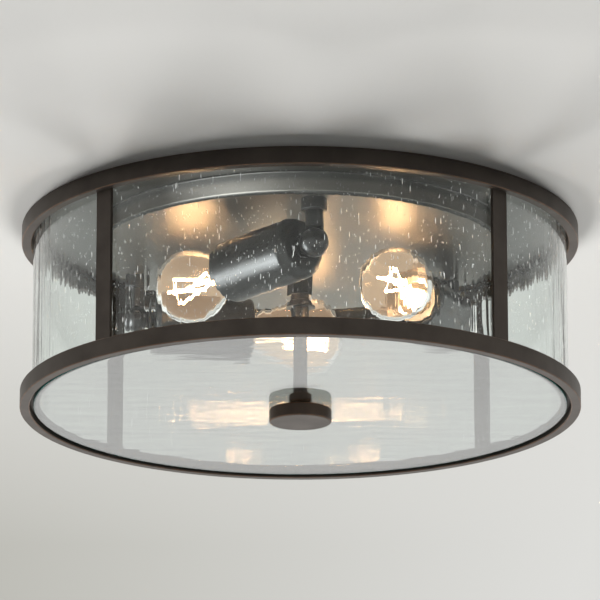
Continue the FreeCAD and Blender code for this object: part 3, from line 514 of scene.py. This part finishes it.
def seed_ball():
    """A coarse ball of radius 1: a pole, three rings of six, and the other pole."""
    verts = [(0, 0, 1)]
    verts += [(math.cos(a * math.pi / 3) * s, math.sin(a * math.pi / 3) * s, h)
              for s, h in ((0.72, 0.69), (1.0, 0.0), (0.72, -0.69)) for a in range(6)]
    verts += [(0, 0, -1)]
    faces = [(0, 1 + a, 1 + (a + 1) % 6) for a in range(6)]
    for row in (1, 7):
        faces += [(row + a, row + 6 + a, row + 6 + (a + 1) % 6, row + (a + 1) % 6)
                  for a in range(6)]
    faces += [(19, 13 + (a + 1) % 6, 13 + a) for a in range(6)]
    return verts, faces


def seeds(outer, inner, low, high):
    """Small drawn bubbles inside the cylinder's wall."""
    rng = random.Random(SEED_DRAW)
    ball, ball_faces = seed_ball()
    verts, faces = [], []
    for _ in range(SEED_COUNT):
        angle = rng.uniform(0, 2 * math.pi)
        height = rng.uniform(low + SEED_END_GAP, high - SEED_END_GAP)
        wide = rng.choice(SEED_WIDTHS)
        tall = wide * rng.choice(SEED_STRETCHES)
        radius = rng.uniform(inner + SEED_DEPTH, outer - SEED_DEPTH)
        outward = Vector((math.cos(angle), math.sin(angle), 0))
        side = Vector((-outward.y, outward.x, 0))
        faces += shifted(ball_faces, len(verts))
        for x, y, z in ball:
            verts.append(outward * (radius + x * wide * SEED_FLATNESS) + side * (y * wide)
                         + Vector((0, 0, height + z * tall)))
    bubbles = piece("glass_seeds", verts, faces, SEED_AIR, "frame")


# ---- bottom glass ---------------------------------------------------------------------------

def ripple(x, y, seed):
    """A gentle rolled-glass ripple from 0 to 1, longer along X."""
    rng = random.Random(seed)
    total = 0.0
    for across, along in RIPPLE_TERMS:
        turn = rng.uniform(-0.3, 0.3)
        total += math.sin(across * (y + turn * x) + rng.uniform(0, 6)
                          + 1.5 * math.sin(along * x + rng.uniform(0, 6)))
    return 0.5 + 0.1 * total


def bottom_pane():
    """The rippled floor glass with its rod hole, bevelled green rim and flat edges."""
    low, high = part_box("bottom_glass")
    rim = high[0]
    flat = rim - PANE_BEVEL
    radii = list(np.linspace(PANE_HOLE_R, flat, PANE_RINGS))
    verts = []

    def row(radius, height, reach=0.0, seed=0):
        for j in range(PANE_STEPS):
            angle = 2 * math.pi * j / PANE_STEPS
            x, y = radius * math.cos(angle), radius * math.sin(angle)
            z = height
            if reach:
                fade = min(1.0, (flat - radius) / RIPPLE_RIM_FADE,
                           (radius - PANE_HOLE_R) / RIPPLE_HOLE_FADE)
                z += reach * fade * ripple(x, y, seed)
            verts.append((x, y, z))

    for radius in radii:
        row(radius, low[2], PANE_RIPPLE, UNDERSIDE_RIPPLE)
    row(rim, low[2] + PANE_BEVEL)
    row(rim, high[2] - PANE_BEVEL)
    for radius in radii[::-1]:
        row(radius, high[2], -PANE_RIPPLE, UPPER_RIPPLE)
    faces = loop_faces(2 * PANE_RINGS + 2, PANE_STEPS, True)
    pane = piece("floor_glass", verts, faces, PANE, "cover")
    pane.data.materials.append(PANE_EDGE)
    first = (PANE_RINGS - 1) * PANE_STEPS
    for polygon in pane.data.polygons[first:first + 3 * PANE_STEPS]:
        polygon.material_index = 1
    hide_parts("bottom_glass")


# ---- bulbs ----------------------------------------------------------------------------------

def socket_place(number):
    """The pivot's own frame: X along the cup, Y along the swivel's axis."""
    along = Vector(joints[f"bulb_out_{number}"]["axis"]).normalized()
    across = Vector(joints[f"socket_tilt_{number}"]["axis"]).normalized()
    place = Matrix((along, across, along.cross(across))).transposed().to_4x4()
    place.translation = Vector(joints[f"socket_tilt_{number}"]["pos_m"])
    return place


def bulb_line(inset, back):
    """The bulb's smooth outline from its neck to its tip, smaller all round by the inset."""
    radius, neck = BULB_R - inset, BULB_NECK_R - inset
    cone_end = (BULB_CENTRE - radius * math.sin(BULB_CONE), radius * math.cos(BULB_CONE))
    corner = cone_end[0] - (cone_end[1] - neck) / math.tan(BULB_CONE)
    bend = BULB_NECK_BLEND + inset
    reach = bend * math.tan(BULB_CONE / 2)
    points = [(back, neck)]
    points += arc((corner - reach, neck + bend), bend, -math.pi / 2, -math.pi / 2 + BULB_CONE,
                  BLEND_STEPS)
    cone = points[-1]
    points += [(cone[0] + (cone_end[0] - cone[0]) * i / CONE_STEPS,
                cone[1] + (cone_end[1] - cone[1]) * i / CONE_STEPS) for i in range(1, CONE_STEPS)]
    points += arc((BULB_CENTRE, 0), radius, math.pi / 2 + BULB_CONE, 0.0, CROWN_STEPS)
    points[-1] = (points[-1][0], AXIS_R)
    return points


def bulb_envelope(number):
    """The bulb's thin glass: its outside, its inside, and the foot that closes the neck."""
    place = socket_place(number)
    verts, faces = lathe(bulb_line(0, NECK_START), place)
    faces = flipped(faces)
    back = NECK_START + BULB_WALL
    inside, inside_faces = lathe([(back, AXIS_R)] + bulb_line(BULB_WALL, back), place)
    faces += shifted(inside_faces, len(verts))
    verts += inside
    foot, foot_faces = lathe([(NECK_START, AXIS_R), (NECK_START, BULB_NECK_R)], place)
    faces += flipped(shifted(foot_faces, len(verts)))
    verts += foot
    envelope = piece(f"bulb_envelope_{number}", verts, faces, BULB_SKIN, f"bulb_{number}")
    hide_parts(f"bulb_glass_{number}")


def bulb_base(number):
    """The screw base: tip contact, shoulder, rolled thread and rim."""
    turns_at = [THREAD_START + THREAD_LENGTH * i / (THREAD_ROWS - 1) for i in range(THREAD_ROWS)]
    profile = [(BASE_BACK + along, radius) for along, radius in BASE_TIP]
    lead_in = len(profile)
    profile += [(at, BASE_R - THREAD_DEPTH / 2) for at in turns_at]
    profile += [(BASE_FRONT + along, radius) for along, radius in BASE_RIM]

    def thread(i, angle):
        if lead_in <= i < lead_in + THREAD_ROWS:
            turn = 2 * math.pi * turns_at[i - lead_in] / THREAD_PITCH
            return THREAD_DEPTH / 2 * math.cos(turn - angle)
        return 0.0

    verts, faces = lathe(profile, socket_place(number), thread)
    screw = piece(f"bulb_screw_base_{number}", verts, flipped(faces), BASE_METAL,
                  f"bulb_{number}")
    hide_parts(f"bulb_base_{number}")


# ---- the stage ------------------------------------------------------------------------------

def ceiling():
    """A plain ceiling, open inside the top ring and clear from above.

    Its paint is darker towards the back left: painted shade for the room's light falling off."""
    finish = Finish("ceiling paint")
    place = finish.add("TexCoord").outputs["Object"]
    place = finish.add("SeparateXYZ", {"Vector": place})
    # painted shade: the ceiling's colour darkens towards the back left, standing in for the room's
    # weaker light there
    to_right = finish.spread(place.outputs["X"], 0.0, 1.0, -0.35, 0.30)
    to_back = finish.spread(place.outputs["Y"], 0.0, 1.0, 0.10, 1.10)
    side = finish.colours(to_right, (0.0, (0.465, 0.465, 0.435)), (1.0, (0.675, 0.68, 0.67)))
    tone = finish.blend(to_back, (0.70, 0.70, 0.685), side)
    paint = finish.add("BsdfDiffuse", {"Color": tone}).outputs["BSDF"]
    clear = finish.add("BsdfTransparent").outputs["BSDF"]
    from_above = finish.add("NewGeometry").outputs["Backfacing"]
    mix = finish.add("MixShader", {0: from_above, 1: paint, 2: clear})
    paint = finish.surface(mix.outputs["Shader"])
    verts = []
    for radius in CEILING_RINGS:
        for a in range(CEILING_STEPS):
            angle = 2 * math.pi * a / CEILING_STEPS
            verts.append((radius * math.cos(angle), radius * math.sin(angle), CEILING_Z))
    faces = loop_faces(len(CEILING_RINGS), CEILING_STEPS, False)
    piece("ceiling_plane", verts, faces, paint, None, False)


def lamp(name, kind, power, colour, direction):
    data = bpy.data.lights.new(name, kind)
    data.energy = power
    data.color = colour
    light = bpy.data.objects.new(name, data)
    light.rotation_euler = Vector(direction).to_track_quat("-Z", "Y").to_euler()
    bpy.context.scene.collection.objects.link(light)
    return light


def window_light(name, place, size, power, coat):
    """A round pale lamp that shines on one coat's gloss alone, so the glass doesn't mirror it."""
    light = lamp(name, "AREA", power, WINDOW_COLOUR, Vector(LANTERN_MIDDLE) - Vector(place))
    light.location = place
    light.data.shape = "DISK"
    light.data.size = size
    light.visible_diffuse = False
    lit = bpy.data.collections.new(f"lit by the {name}")
    for node, material in node_finish.items():
        if material == coat:
            lit.objects.link(nodes[node])
    light.light_linking.receiver_collection = lit


def room():
    """A pale room that is dimmer as light than it looks, and the lamps."""
    world = bpy.data.worlds.new("pale room")
    world.use_nodes = True
    tree = world.node_tree
    background = tree.nodes["Background"]
    background.inputs["Color"].default_value = ROOM_COLOUR
    rays = tree.nodes.new("ShaderNodeLightPath")
    level = None
    for ray, strength in ROOM_LEVELS:
        mix = tree.nodes.new("ShaderNodeMix")
        factor, otherwise, here = mix.inputs[0], mix.inputs[2], mix.inputs[3]
        if level is None:
            otherwise.default_value = AMBIENT
        else:
            tree.links.new(level, otherwise)
        here.default_value = strength
        tree.links.new(rays.outputs[ray], factor)
        level = mix.outputs[0]
    tree.links.new(level, background.inputs["Strength"])
    bpy.context.scene.world = world
    for name, across, power in BACK_LIGHTS:
        back = lamp(name, "SUN", power, BACK_LIGHT_COLOUR, (across, -1.0, BACK_LIGHT_RISE))
        back.data.angle = BACK_LIGHT_ANGLE
        back.visible_glossy = False
        back.visible_transmission = False
    window_light("side light", SIDE_LIGHT_PLACE, 1.5, 270.0, LAMP_BRONZE)
    window_light("window light", WINDOW_LIGHT_PLACE, 3.2, 370.0, PAN)


def camera():
    data = bpy.data.cameras.new("camera")
    data.sensor_width = 36.0
    data.lens = CAMERA_LENS
    data.clip_start = 0.05
    data.clip_end = 50.0
    obj = bpy.data.objects.new("camera", data)
    obj.matrix_world = (Matrix.Translation(CAMERA_PLACE)
                        @ Matrix.Rotation(CAMERA_TURN, 4, "Z")
                        @ Matrix.Rotation(math.pi / 2 + CAMERA_RISE, 4, "X")
                        @ Matrix.Rotation(CAMERA_ROLL, 4, "Z"))
    bpy.context.scene.collection.objects.link(obj)
    bpy.context.scene.camera = obj


seeds(*glass_cylinder())
bottom_pane()
for number in SOCKETS:
    bulb_envelope(number)
    bulb_base(number)
ceiling()
room()
camera()
bpy.context.scene.view_settings.view_transform = "Standard"
# the filaments' glints in the glass are brighter than the usual limit on indirect light
bpy.context.scene.cycles.sample_clamp_indirect = INDIRECT_LIMIT
